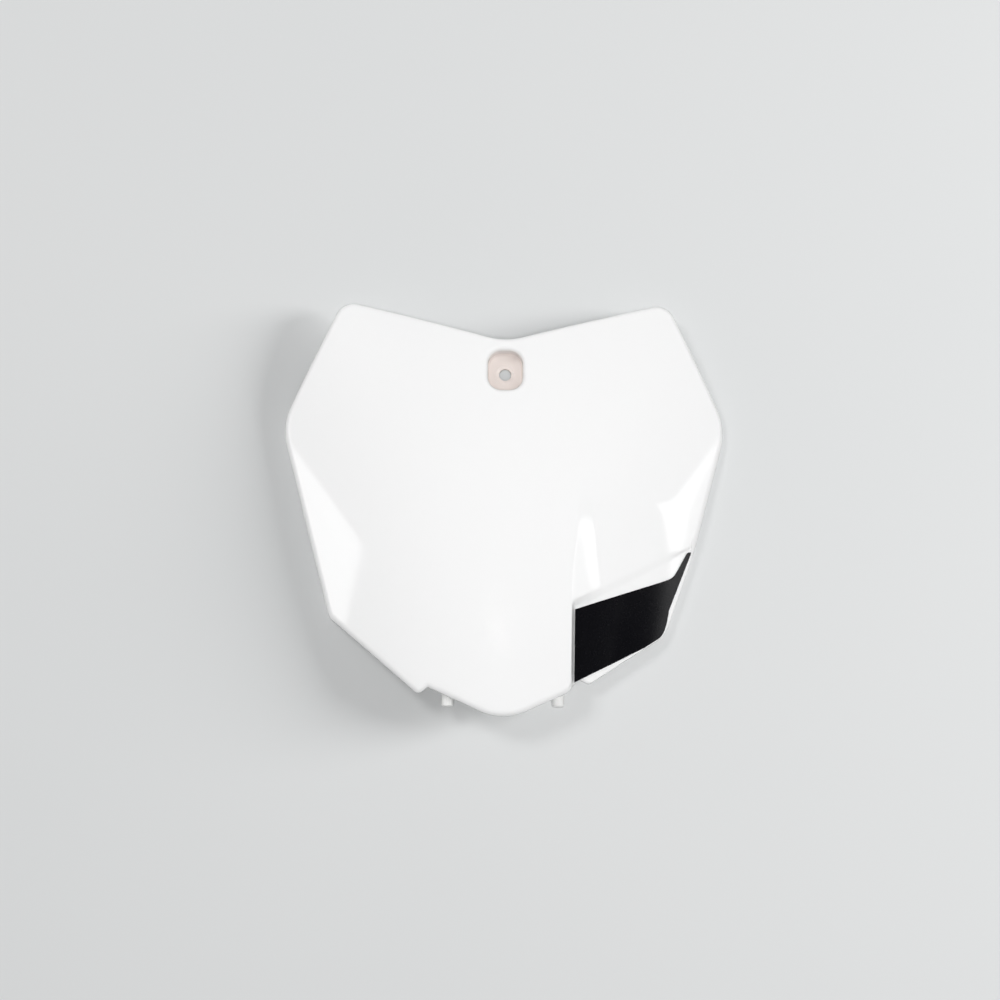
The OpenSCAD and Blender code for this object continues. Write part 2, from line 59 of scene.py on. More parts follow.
# %% Place the flat drawing in the frame
PLATE, PANEL = "number_plate", "black_panel"
POCKET_Y, POCKET_DEPTH, POCKET_FLOOR = 78.4, 12.0, 2.6
POCKET_HALF, POCKET_RADIUS, POCKET_SOFT = np.array([9.5, 11.25]), 7.5, 2.4
MM = 0.001

hole = next(m for m in frame["record"]["mounts"] if m["name"] == "bolt_hole")
lean = np.arctan2(hole["axis"][1], hole["axis"][2])


def leaned(p):
    """Turn about the x axis: y cos + z sin, and z cos - y sin, for an array of points."""
    x, y, z = np.moveaxis(np.asarray(p, float), -1, 0)
    return np.stack([x, y * np.cos(lean) + z * np.sin(lean),
                     z * np.cos(lean) - y * np.sin(lean)], axis=-1)


hole_middle = [0.0, POCKET_Y, -POCKET_DEPTH - POCKET_FLOOR / 2]
offset = np.array(hole["pos_m"]) / MM - leaned(hole_middle)


def placed(p):
    """Flat drawing in millimetres to the frame in metres: lean, shift, scale."""
    return (leaned(p) + offset) * MM


print("lean (degrees):", round(float(np.degrees(lean)), 3), "shift (mm):", offset.round(3))

# %% [markdown]
# Four small functions do most of the shaping. A straight mix joins two values, an eased mix
# joins them without a corner, and a soft ramp is a bent line whose corner has a radius. A real
# moulded edge always has one, and it is what catches the light.

# %% Helpers for curves
def mix(a, b, t):
    """a where t is 0, b where t is 1, straight between."""
    return a + (b - a) * t


def ease(t):
    """3t^2 - 2t^3 on t held between 0 and 1."""
    t = np.clip(t, 0, 1)
    return t * t * (3 - 2 * t)


def soft(d, r):
    """Half of d plus the root of d^2 + r^2: the ramp max(d, 0) with a corner of about r."""
    return (d + np.sqrt(d * d + r * r)) / 2


def soft_step(d, width, r):
    """Difference of two soft ramps: rises from 0 to 1 over the width, with rounded corners."""
    return (soft(d, r) - soft(d - width, r)) / width


def unit(v):
    """Each vector of an array divided by its length."""
    return v / np.linalg.norm(v, axis=-1, keepdims=True)


# %% [markdown]
# The outline is a loop of fourteen corners, and each has its own radius: wide at the sides,
# tight at the two wings beside the chin. It could be a Bezier curve, but arcs and straight
# lines are what the mould maker drew, and they give an exact height for every x.

# %% The outline and its corners
CREST, STEEP = 36.6, 1.6
CHIN, CHIN_RISE = 110.85, np.tan(np.radians(24.5))
SEAT_DROP, SEAT_RISE = 48.6, np.tan(np.radians(27.6))
SIDE, LOW, STEP_CORNER = (123.0, 52.3), (95.2, -53.1), (88.6, -62.0)
TOP_CORNER, DIP, WING, STEP_WING = (89.7, 120.7), (0, 95), (45.5, -96.2), (46.7, -89.3)
CHIN_NOTCH, CHIN_END, NOTCH = 40.6, 34.9, (40.9, -86.6)
WIDE_R, LOW_R, WING_R, NOTCH_R, STEP_R, TOP_R, DIP_R = 30, 8, 3.4, 1.2, 16, 10, 34
ARC_POINTS = 49

side_run = (SIDE[0] - LOW[0]) / (SIDE[1] - LOW[1])
leave_x = ((LOW[0] + side_run * (-LOW[1] - SEAT_DROP - SEAT_RISE * CREST))
           / (1 - side_run * SEAT_RISE))
STEP_LEAVE = (leave_x, LOW[1] + (leave_x - LOW[0]) / side_run)

corners = np.array([
    [-SIDE[0], SIDE[1], WIDE_R], [-LOW[0], LOW[1], LOW_R], [-WING[0], WING[1], WING_R],
    [-CHIN_NOTCH, -CHIN + CHIN_NOTCH * CHIN_RISE, NOTCH_R], [0, -CHIN, WIDE_R],
    [CHIN_END, -CHIN + CHIN_END * CHIN_RISE, WING_R], [*NOTCH, NOTCH_R], [*STEP_WING, WING_R],
    [*STEP_CORNER, STEP_R], [*STEP_LEAVE, WIDE_R], [*SIDE, WIDE_R],
    [*TOP_CORNER, TOP_R], [*DIP, DIP_R], [-TOP_CORNER[0], TOP_CORNER[1], TOP_R]])


def rounded_loop(corners, steps):
    """Each corner becomes the arc of its radius that touches both of its sides.

    The arc's centre lies on the corner's bisector at r / sin(half angle). The arc turns from the
    spoke at its start to the spoke at its end, mixed by the sines of the two part turns.
    """
    p, r = corners[:, :2], corners[:, 2:]
    a, b = unit(np.roll(p, 1, 0) - p), unit(np.roll(p, -1, 0) - p)
    half = np.arccos(np.sum(a * b, 1, keepdims=True)) / 2
    centre = p + unit(a + b) * r / np.sin(half)
    start, end = p + a * r / np.tan(half) - centre, p + b * r / np.tan(half) - centre
    t, turn = np.linspace(0, 1, steps)[None, :, None], (np.pi - 2 * half)[:, None, :]
    spoke = np.sin((1 - t) * turn) * start[:, None] + np.sin(t * turn) * end[:, None]
    return (centre[:, None] + spoke / np.sin(turn)).reshape(-1, 2)


loop = rounded_loop(corners, ARC_POINTS)
loop = np.roll(loop, -int(np.argmin(loop[:, 0])), 0)
turn_at = int(np.argmax(loop[:, 0]))
low_line, high_line = loop[:turn_at + 1], np.vstack([loop[turn_at:], loop[:1]])[::-1]


def low_y(x):
    """Height of the lower half of the outline at x."""
    return np.interp(x, *low_line.T)


def high_y(x):
    """Height of the upper half of the outline at x."""
    return np.interp(x, *high_line.T)


print("outline (mm):", np.ptp(loop, 0).round(2), "from", len(loop), "points")

# %% [markdown]
# The face is a crown: it falls away from its highest line to top and bottom, and to both sides,
# more so at the chin. One corner is stepped down from it. The step starts from nothing at a
# point, follows a swinging crest line, scoops out to the side, and carries a shallow seat with
# a steep wall for the panel. All of this is one height function of x and y, so the panel, the
# rear face and the webs can ask it for their own places. A boolean cut could not give the
# scoop, and a sculpted one could not be measured.

# %% Heights of the face
TOP, CROWN_Y, CROWN_RADIUS = TOP_CORNER[1], 50.0, 600.0
CURVE_TOP, CURVE_CHIN = 0.0020, 0.0066
STEP_TOP, STEP_DEPTH, WING_DEPTH = 8.6, 8.5, -WING[1]
SEAT_DEPTH, SEAT_EDGE, WALL = 1.0, 1.0, 2.4
CREST_SOFT, SEAT_SOFT, APEX_SOFT, KINK_SOFT = 0.7, 0.25, 2.0, 0.5
SWING, SWING_FROM = 3.6, 40
DOWN_POWER, OUT_POWER, OUT_LOSS, EDGE_SHARE, EDGE_FADE = 0.57, 0.66, 0.33, 0.15, 0.45
SCOOP_START, SCOOP_WIDTH, SCOOP_GROWTH, SCOOP_POWER = 6.8, 17.6, 0.44, 1.1
swing_end = POCKET_Y - POCKET_HALF[1]


def face(x, y):
    """Crown: minus (y - crown)^2 / 2R, minus c x^2 / 2, with c mixed from the top to the chin."""
    c = mix(CURVE_TOP, CURVE_CHIN, np.clip((TOP - y) / (TOP + CHIN), 0, 1))
    return -(y - CROWN_Y) ** 2 / (2 * CROWN_RADIUS) - c * x * x / 2


def swing(y):
    """How far the crest line leans outwards at y: eased in from below, eased out above."""
    return (SWING * ease((y + SWING_FROM) / (STEP_TOP + SWING_FROM))
            * ease((swing_end - y) / (swing_end - CROWN_Y / 2)))


def seat_line(x):
    """Upper edge of the panel's seat: level up to the crest, then rising with its slope."""
    return -SEAT_DROP + SEAT_RISE * soft(x - CREST, KINK_SOFT)


def edge_x(y):
    """Distance of the stepped side of the outline at y, as a straight line."""
    up = (y - STEP_CORNER[1]) / (STEP_LEAVE[1] - STEP_CORNER[1])
    return mix(STEP_CORNER[0], STEP_LEAVE[0], up)


def step(x, y, grow=0.0):
    """Depth of the step below the crown. grow moves it outwards for the rear face.

    Down runs from the step's top to its wing and u from the crest to the edge. Full depth is
    the step's depth times down to a power that grows with u, less a loss that grows with u,
    and faded to the edge's share. The scoop reaches it as 1 - (1 - v)^1.1, with v over the
    scoop's width, and the seat reaches it over the steep wall's width.
    """
    d = x - CREST - swing(y) + grow
    down = np.minimum(soft(STEP_TOP + grow - y, APEX_SOFT) / (STEP_TOP + WING_DEPTH), 1)
    u = np.clip(d / (edge_x(y) - x + d), 0, 1)
    fade = mix(1, EDGE_SHARE, ease((u - EDGE_FADE) / (1 - EDGE_FADE)))
    full = STEP_DEPTH * down ** (DOWN_POWER + OUT_POWER * u) * (1 - OUT_LOSS * u) * fade
    width = mix(SCOOP_START, SCOOP_WIDTH, np.clip(down / SCOOP_GROWTH, 0, 1))
    v = np.clip(soft_step(d, width, CREST_SOFT), 0, 1)
    scooped = full * (1 - (1 - v) ** SCOOP_POWER)
    seated = (full + SEAT_DEPTH) * soft_step(d, STEEP, SEAT_SOFT)
    low = soft_step(seat_line(x) + grow + SEAT_EDGE / 2 - y, SEAT_EDGE, SEAT_SOFT)
    return mix(scooped, np.maximum(scooped, seated), low)


def front(x, y):
    """Height of the front surface: the crown less the step."""
    return face(x, y) - step(x, y)


def rear(x, y):
    """Height of the rear surface: the crown less the grown step, one wall further back."""
    return face(x, y) - step(x, y, WALL) - WALL


print("crown falls (mm):", face(np.array([90, 0]), np.array([-50, -110])).round(2),
      "deepest step (mm):", round(float(step(np.array(60.0), np.array(-85.0))), 2))

# %% [markdown]
# The mesh is a grid of columns that run up the board, because the outline gives one lower and
# one upper height for each x. The columns crowd together where the shape turns quickly: at the
# crest, at the corners of the wings and at the far ends. They all meet the outline in the same
# points for the front, the rim and the rear, so the skin closes without a seam.

# %% Columns and the ring round the outline
BOSS_WALL, BOSS_SOFT = 2.0, 1.0
END_WIDTH, END_COLS = 14, 15
UP_BEFORE, UP_AFTER, UP_BLEND = 3.2, 4, 2

front_block = POCKET_HALF + POCKET_SOFT
rear_block = POCKET_HALF + BOSS_WALL + BOSS_SOFT


def stretch(stops, gaps):
    """Points from stop to stop, each stretch cut into equal parts of about its own gap."""
    counts = [max(1, round((b - a) / g)) for a, b, g in zip(stops, stops[1:], gaps)]
    parts = [np.linspace(a, b, n, endpoint=False) for a, b, n in zip(stops, stops[1:], counts)]
    return np.concatenate(parts + [[stops[-1]]])


# Each stretch between two stops has its own gap from column to column (mm).
x_end = -loop[:, 0].min()
ends = x_end - END_WIDTH * np.linspace(1, 0, END_COLS) ** 2
stops = [-x_end + END_WIDTH, -98, -89, -47.5, -44, -42.2, -39, -rear_block[0], -front_block[0],
         front_block[0], rear_block[0], 33.6, 36.2, 38.8, 42.2, 44.8, 48.8, 76, 95,
         x_end - END_WIDTH]
gaps = [1.2, 0.6, 1.5, 0.4, 0.5, 0.25, 1.4, 0.8, 1.1, 0.8, 1.4, 0.3, 0.2, 0.3, 0.5, 0.4, 1.3,
        0.8, 1.2]
columns = np.concatenate([-ends[:0:-1], stretch(stops, gaps), ends[1:]])
n = len(columns)
lower = np.stack([columns, low_y(columns)], 1)
upper = np.stack([columns, high_y(columns)], 1)
ring = np.vstack([lower, upper[-2:0:-1]])
m = len(ring)


def side_normals(ring):
    """Inward normals of the side before and of the side after each point."""
    normal = unit(ring - np.roll(ring, 1, 0))[:, ::-1] * [-1, 1]
    return normal, np.roll(normal, -1, 0)


def inward(ring):
    """Mitre at each point: the sum of the normals of its two sides over 1 plus their product."""
    before, after = side_normals(ring)
    return (before + after) / (1 + np.sum(before * after, 1, keepdims=True))


# Between the crest and the notch the mitres point straight up, by the mean of 1 / the normals' y,
# so that the columns of the steep wall stay on it down to the lower edge.
before, after = side_normals(ring)
upright = (np.clip((ring[:, :1] - CREST + UP_BEFORE) / UP_BLEND, 0, 1)
           * np.clip((NOTCH[0] + UP_AFTER - ring[:, :1]) / UP_BLEND, 0, 1)
           * (ring[:, 1:] < 0))
lift = sum(1 / np.where(upright > 0, side[:, 1:], 1) for side in (before, after)) / 2
ring_in = mix(inward(ring), np.hstack([0 * lift, lift]), upright)
print(n, "columns,", m, "points round the outline")

# %% [markdown]
# Rows climb each column between fixed marks: the seat's edge, which needs a few rows of its
# own, then the lower and upper side of a block that is left out for the bolt pocket. Where a
# column is too short for them, the marks are pushed together. Round the pocket the grid is
# then pulled onto a rounded rectangle. That keeps the surface in one piece, with rows that
# flow round the hole, where a boolean would leave slivers in the gloss.

# %% Rows and the block round the pocket
# Least share of a column below each of its six marks, and least share above it: the first
# number holds beside the pocket and the second far out.
BELOW = [(0, 0), (0.06, 0.06), (0.12, 0.12), (0.14, 0.62), (0.16, 0.84), (1, 1)]
ABOVE = [(1, 1), (0.86, 0.86), (0.74, 0.74), (0.12, 0.3), (0.01, 0.12), (0, 0)]
OUT_FROM, OUT_WIDTH = 14, 30
SEAT_BAND, LOOSE_BAND, BAND_BLEND = 0.9, 6, 8
PULL, FOLLOW, FOLLOW_LOW, EDGE_HOLD, ROOM_SHARE = 9, 26, 3, 30, 0.95
TINY = 1e-12


def row_marks(x, low, high, block, grow):
    """Heights of the six marks in each column, held apart by shares of the column's height."""
    h = high - low
    out = ease((np.abs(x) - OUT_FROM) / OUT_WIDTH)
    half = mix(SEAT_BAND, LOOSE_BAND, ease((CREST - 1 - x) / BAND_BLEND))
    seat = seat_line(x) + grow
    wanted = [low, seat - half, seat + half, POCKET_Y - block, POCKET_Y + block, high]
    return np.stack([np.clip(w, low + mix(*a, out) * h, high - mix(*b, out) * h)
                     for w, a, b in zip(wanted, BELOW, ABOVE)])


def rows_at(marks, counts):
    """Heights between the marks, each stretch cut into its own number of equal rows."""
    parts = [mix(marks[k], marks[k + 1], np.arange(c)[:, None] / c) for k, c in enumerate(counts)]
    return np.vstack(parts + [marks[-1:]])


def spokes(angle):
    """Size of the cosine and of the sine of each angle, kept off zero."""
    return np.abs(np.cos(angle)) + TINY, np.abs(np.sin(angle)) + TINY


def ray(angle, half, r):
    """Distance along each direction to a rounded rectangle: to its flat side, or to its corner.

    A corner is the circle of radius r about q, met at d.q plus the root of (d.q)^2 - q.q + r^2.
    """
    c, s = spokes(angle)
    q = np.asarray(half) - r
    side, end = half[0] / c, half[1] / s
    dq = c * q[0] + s * q[1]
    corner = dq + np.sqrt(np.maximum(dq * dq - q @ q + r * r, 0))
    return np.where(s * side <= q[1], side, np.where(c * end <= q[0], end, corner))


def pull_to_pocket(x, y, half, r, room):
    """Scales each point about the pocket so that the block's edge falls on the rounded shape.

    The scale is the rounded shape's distance over the block's. It eases out to 1 over nine
    millimetres, or above the pocket over the little room that is left to the board's edge.
    """
    dx, dy = x, y - POCKET_Y
    beyond = np.maximum((np.abs(dx) - half[0]) / PULL,
                        (np.abs(dy) - half[1]) / np.where(dy > 0, room, PULL))
    angle = np.arctan2(dy, dx)
    c, s = spokes(angle)
    block = np.minimum(half[0] / c, half[1] / s)
    k = mix(ray(angle, half, r) / block, 1, ease(beyond))
    return dx * k, POCKET_Y + dy * k


def grid(inset, counts, block, r, grow, height):
    """Points of one face as rows by columns by three, from the ring moved inwards by inset.

    Near the crest the columns follow its swing, so that the crease stays on one of them.
    """
    edge = ring + ring_in * inset[:, None]
    low, high = edge[:n], np.vstack([edge[:1], edge[:n - 2:-1]])
    y = rows_at(row_marks(low[:, 0], low[:, 1], high[:, 1], block[1], grow), counts)
    share = np.divide(y - low[:, 1], high[:, 1] - low[:, 1], out=0 * y,
                      where=high[:, 1] - low[:, 1] > 1e-9)
    x = mix(low[:, 0], high[:, 0], share)
    x = mix(x, columns + 0 * y, ease(1 - np.abs(columns - CREST) / FOLLOW)
            * ease((high[:, 1] - y) / FOLLOW) * ease((y - low[:, 1]) / FOLLOW_LOW))
    inside = ease(np.minimum(share, 1 - share) * EDGE_HOLD)
    x = x + inside * ease(1 - np.abs(x - CREST) / FOLLOW) * swing(y)
    room = ROOM_SHARE * (high[np.abs(low[:, 0]) < block[0], 1].min() - POCKET_Y - block[1])
    x, y = pull_to_pocket(x, y, block, r, room)
    return np.stack([x, y, height(x, y)], -1)


# %% [markdown]
# A mould maker rounds the front edge all round, turns the rim down behind it and leaves a flat
# rear edge two millimetres wide. Here the rim is a profile of insets and drops that is carried
# round the ring. Below the panel the front edge is nearly sharp, so the radius is itself a
# function of the place.

# %% The rim as a profile carried round the ring
RIM_RADIUS, PANEL_RIM_RADIUS, RIM_DEPTH, RIM_WIDTH, RIM_SOFT = 2.8, 0.6, 5.0, 2.2, 0.45
EDGE_LOOPS, CORNER_LOOPS, NEAR_SEAT, REAR_STEP = 9, 4, 7, 0.5

near_seat = (np.clip((seat_line(ring[:, 0]) - ring[:, 1]) / NEAR_SEAT, 0, 1)
             * np.clip((ring[:, 0] - NOTCH[0]) / NEAR_SEAT, 0, 1))
edge_radius = mix(RIM_RADIUS, PANEL_RIM_RADIUS, near_seat)


def rim_rings():
    """Loops of the rim: (1 - sin a, 1 - cos a) times the edge radius for the rounded edge, then
    down the outside, round the two rear corners, and up the inside to the rear face."""
    a = np.radians(np.linspace(0, 90, EDGE_LOOPS))[:, None]
    inset = (1 - np.sin(a)) * edge_radius
    drop = (1 - np.cos(a)) * edge_radius
    b = np.radians(np.linspace(0, 90, CORNER_LOOPS))[:, None] + 0 * edge_radius
    outer = (RIM_SOFT * (1 - np.cos(b)), RIM_DEPTH - RIM_SOFT * (1 - np.sin(b)))
    inner = (RIM_WIDTH - RIM_SOFT * (1 - np.sin(b)), RIM_DEPTH - RIM_SOFT * (1 - np.cos(b)))
    inset, drop = np.vstack([inset, outer[0], inner[0]]), np.vstack([drop, outer[1], inner[1]])
    p = ring + ring_in * inset[..., None]
    return np.concatenate([p, (front(p[..., 0], p[..., 1]) - drop)[..., None]], -1)


rim = rim_rings()
rear_inset = np.full(m, RIM_WIDTH + REAR_STEP)
rear_edge = ring + ring_in * rear_inset[:, None]
rear_edge = np.concatenate([rear_edge, rear(*rear_edge.T)[:, None]], -1)
rim = np.concatenate([rim, mix(rim[-1:], rear_edge, np.array([0.5, 1.0])[:, None, None])])
print(len(rim), "loops in the rim")

# %% [markdown]
# With the points known, faces are only index sums. One helper joins a grid of points, another
# joins loops into a band, and a third welds equal points, so that every patch can be made on
# its own. Blender would do the welding too, but the arrays are already here.

# %% Faces from index arrays
SAME_POINT = 2e-4


def grid_faces(rows, cols, keep=None):
    """Two triangles for each cell of a grid of points, for the cells that are kept."""
    a = (np.arange(rows - 1)[:, None] * cols + np.arange(cols - 1)).astype(int)
    a = a[keep] if keep is not None else a.ravel()
    return np.concatenate([np.stack([a, a + 1, a + cols + 1], -1),
                           np.stack([a, a + cols + 1, a + cols], -1)])


def band(loops):
    """Points and triangles of closed loops joined one to the next."""
    k, count = loops.shape[:2]
    a = np.arange(k - 1)[:, None] * count + np.arange(count)
    b = np.arange(k - 1)[:, None] * count + (np.arange(count) + 1) % count
    a, b = a.ravel(), b.ravel()
    return loops.reshape(-1, 3), np.concatenate([np.stack([a, b, b + count], -1),
                                                 np.stack([a, b + count, a + count], -1)])


def stacked(patches):
    """Points and triangles of many patches in one pair of arrays."""
    starts = np.cumsum([0] + [len(p) for p, f in patches])
    return (np.concatenate([p for p, f in patches]),
            np.concatenate([f + s for (p, f), s in zip(patches, starts)]))


def weld(patches):
    """One mesh from many: points that agree to 0.2 micrometres become one, empty faces go."""
    points, faces = stacked(patches)
    _, first, back = np.unique(np.round(points / SAME_POINT).astype(np.int64), axis=0,
                               return_index=True, return_inverse=True)
    faces = back.reshape(-1)[faces]
    good = np.all(faces != np.roll(faces, -1, 1), axis=1)
    return points[first], faces[good]


# %% [markdown]
# The bolt pocket is a stack of loops that starts on the hole left in the front grid. It rolls
# over a soft edge, drops down straight walls, turns into the floor, steps down a shallow ring
# and goes through the bolt hole. Behind, the same loops spread out again over the boss and
# meet the hole in the rear grid. So front and rear are one closed skin, as in the mould.

# %% The pocket, the bolt hole and the boss
FRONT_ROWS, REAR_ROWS = [34, 8, 56, 22, 16], [22, 6, 34, 0, 12]
HOLE_RADIUS, RING_RADIUS, RING_DEPTH, FLOOR_SOFT = 3.3, 4.7, 0.35, 1.6
HOLE_BEVEL, REAR_BEVEL, BOSS_BEVEL = 0.35, 0.3, 0.5


def block_rows(counts):
    """First and last row of the block, and its first and last column."""
    return sum(counts[:3]), sum(counts[:4])


def block_loop(g, rows, cols):
    """The points round a block of a grid, as one loop that starts at its lower left corner."""
    (r0, r1), (c0, c1) = rows, cols
    return np.concatenate([g[r0, c0:c1], g[r0:r1, c1], g[r1, c1:c0:-1], g[r1:r0:-1, c0]])


front_cols, rear_cols = ([int(np.argmin(np.abs(columns - side * block[0]))) for side in (-1, 1)]
                         for block in (front_block, rear_block))
REAR_ROWS[3] = FRONT_ROWS[3] + (front_cols[1] - front_cols[0]) - (rear_cols[1] - rear_cols[0])

front_grid = grid(edge_radius, FRONT_ROWS, front_block, POCKET_RADIUS + POCKET_SOFT, 0, front)
rear_grid = grid(rear_inset, REAR_ROWS, rear_block, POCKET_RADIUS + BOSS_WALL + BOSS_SOFT,
                 WALL, rear)
front_hole = block_loop(front_grid, block_rows(FRONT_ROWS), front_cols)
rear_hole = block_loop(rear_grid, block_rows(REAR_ROWS), rear_cols)
front_angle, rear_angle = (np.unwrap(np.arctan2(g[:, 1] - POCKET_Y, g[:, 0]))
                           for g in (front_hole, rear_hole))


def shaped_loop(angle, half, r, z):
    """Loop on a rounded rectangle about the pocket, at the height z."""
    reach = ray(angle, half, r)
    return np.stack([reach * np.cos(angle), POCKET_Y + reach * np.sin(angle), z + 0 * angle], -1)


def pocket_loops():
    """From the front hole down to the bolt hole and back out over the boss to the rear hole."""
    loops = []
    quarter = np.radians(np.linspace(0, 90, 8))[1:]
    for a in quarter:
        out = POCKET_SOFT * (1 - np.sin(a))
        loop = shaped_loop(front_angle, POCKET_HALF + out, POCKET_RADIUS + out, 0)
        loop[:, 2] = front(loop[:, 0], loop[:, 1]) - POCKET_SOFT * (1 - np.cos(a))
        loops.append(loop)
    top, floor = loops[-1][:, 2], -POCKET_DEPTH
    for z in mix(top, floor + FLOOR_SOFT, np.linspace(0, 1, 6)[1:, None]):
        loops.append(shaped_loop(front_angle, POCKET_HALF, POCKET_RADIUS, z))
    for a in quarter[1::2]:
        out = -FLOOR_SOFT * (1 - np.cos(a))
        z = floor + FLOOR_SOFT * (1 - np.sin(a))
        loops.append(shaped_loop(front_angle, POCKET_HALF + out, POCKET_RADIUS + out, z))
    low_ring, base = floor - RING_DEPTH, floor - POCKET_FLOOR
    round_loops = [
        (RING_RADIUS + 0.5, floor), (RING_RADIUS + 0.1, floor - 0.05),
        (RING_RADIUS - 0.1, low_ring), (HOLE_RADIUS + HOLE_BEVEL, low_ring),
        (HOLE_RADIUS, low_ring - HOLE_BEVEL),
        (HOLE_RADIUS, base + REAR_BEVEL), (HOLE_RADIUS + REAR_BEVEL, base)]
    for t, (r, z) in zip(np.linspace(0, 1, len(round_loops)), round_loops):
        loops.append(shaped_loop(mix(front_angle, rear_angle, t), np.array([r, r]), r, z))
    boss, boss_r = POCKET_HALF + BOSS_WALL, POCKET_RADIUS + BOSS_WALL
    for out, z in ((-BOSS_BEVEL, base), (-0.15, base + 0.15), (0, base + BOSS_BEVEL)):
        loops.append(shaped_loop(rear_angle, boss + out, boss_r + out, z))
    edge = shaped_loop(rear_angle, boss, boss_r, 0)
    under = rear(edge[:, 0], edge[:, 1]) - BOSS_SOFT
    for t in (0.35, 0.7, 1.0):
        loops.append(shaped_loop(rear_angle, boss, boss_r, mix(base + BOSS_BEVEL, under, t)))
    for a in quarter[1:-1:2]:
        out = BOSS_SOFT * (1 - np.cos(a))
        loop = shaped_loop(rear_angle, boss + out, boss_r + out, 0)
        loop[:, 2] = rear(loop[:, 0], loop[:, 1]) - BOSS_SOFT * (1 - np.sin(a))
        loops.append(loop)
    return np.array(loops)


pocket = np.concatenate([front_hole[None], pocket_loops(), rear_hole[None]])
print("pocket:", len(pocket), "loops of", pocket.shape[1], "points")

# %% [markdown]
# Each grid leaves out its block, and each is joined to the rim along the same ring of points.
# The rear grid is turned over, so that all faces look outwards.

# %% The skin of the board
def face_patch(g, counts, cols, flip):
    """Points and triangles of a grid, without the block round the pocket."""
    rows, width = g.shape[:2]
    keep = np.ones((rows - 1, width - 1), bool)
    r0, r1 = block_rows(counts)
    keep[r0:r1, cols[0]:cols[1]] = False
    faces = grid_faces(rows, width, keep)
    return g.reshape(-1, 3), faces[:, ::-1] if flip else faces


rim_points, rim_faces = band(rim)
pocket_points, pocket_faces = band(pocket)
skin = weld([face_patch(front_grid, FRONT_ROWS, front_cols, False),
             (rim_points, rim_faces[:, ::-1]), (pocket_points, pocket_faces),
             face_patch(rear_grid, REAR_ROWS, rear_cols, True)])


def open_edges(faces):
    """Number of edges that don't have exactly one face on each side."""
    edges = np.sort(np.concatenate([faces[:, [0, 1]], faces[:, [1, 2]], faces[:, [2, 0]]]), 1)
    return int(np.sum(np.unique(edges, axis=0, return_counts=True)[1] != 2))


def volume(points, faces):
    """Sum of the triple products of the faces' corners over six, in cubic millimetres."""
    a, b, c = points[faces].transpose(1, 0, 2)
    return float(np.sum(a * np.cross(b, c)) / 6)


print("skin:", len(skin[1]), "triangles,", open_edges(skin[1]), "open edges,",
      round(volume(*skin)), "mm3")

# %% [markdown]
# Behind the face stand the parts that take the load: a shelf with two pegs, a thin web behind
# each peg, and three webs that brace the boss. A web is a flat outline with a little thickness
# and softened edges, and a peg is a profile turned about its axis. Their roots go into the
# wall, where the real ones are one with it.

# %% Webs, shelf and pegs
SHELF_Y, SHELF_THICK, SHELF_GAP, SHELF_SKIRT, SHELF_BEVEL = -86.0, 3.0, 0.8, 1, (1.5, 3)
PEG_GAP, PEG_RADIUS, PEG_BACK, PEG_END, PEG_FILLET, PEG_BEVEL = 59.5, 3.3, 31.0, 102.0, 0.5, 0.8
WEB, WEB_REACH, WEB_TAIL, WEB_SETBACK, PEG_WEB = 2.0, 16.0, 1.6, 2, 26.0
WEB_POINTS, SHELF_POINTS, PEG_POINTS, SLAB_EDGE = 17, 41, 56, 0.3


def slab(outline, thickness, axis, at, edge=SLAB_EDGE):
    """A flat convex outline given a thickness along x or y, with its edges softened.

    Loops: the outline moved inwards by edge, the full outline twice, and moved inwards again,
    closed at both ends by a fan to the middle.
    """
    outline = np.asarray(outline, float)
    after = np.roll(outline, -1, 0)
    area = np.sum(outline[:, 0] * after[:, 1] - outline[:, 1] * after[:, 0])
    outline = outline if area > 0 else outline[::-1]
    small = outline + inward(outline) * edge
    half = thickness / 2
    flat = [np.tile(small.mean(0), (len(small), 1)), small, outline, outline, small,
            np.tile(small.mean(0), (len(small), 1))]
    depth = np.array([-half, -half, edge - half, half - edge, half, half])[:, None] + at
    loops = np.stack([np.concatenate([f, d + 0 * f[:, :1]], 1) for f, d in zip(flat, depth)])
    u, v, w = np.moveaxis(loops, -1, 0)
    points, faces = band(np.stack([w, u, v], -1) if axis == "x" else np.stack([u, w, v], -1))
    return points, faces if axis == "x" else faces[:, ::-1]


def web(axis, at, a, b, base):
    """Web that stands across the axis at one place and runs from a to b: its upper edge lies in
    the wall, and its lower one rises from the base."""
    along = np.linspace(a, b, WEB_POINTS)
    wall = face(at, along) if axis == "x" else face(along, at)
    upper = np.stack([along, wall - WALL / 2], 1)
    return slab(np.vstack([[[a, base]], upper, [[b, wall[-1] - WALL - WEB_TAIL]]]), WEB, axis, at)


def shelf():
    """The shelf across the chin: its lower edge has bevelled ends, its upper one is in the wall."""
    half, base = CREST - WALL - SHELF_GAP, -PEG_BACK - PEG_RADIUS - SHELF_SKIRT
    x = np.linspace(half, -half, SHELF_POINTS)
    run, rise = SHELF_BEVEL
    lower = [[-half, base + rise], [-half + run, base], [half - run, base], [half, base + rise]]
    upper = np.stack([x, face(x, SHELF_Y) - WALL / 2], 1)
    return slab(np.vstack([lower, upper]), SHELF_THICK, "y", SHELF_Y + SHELF_THICK / 2)


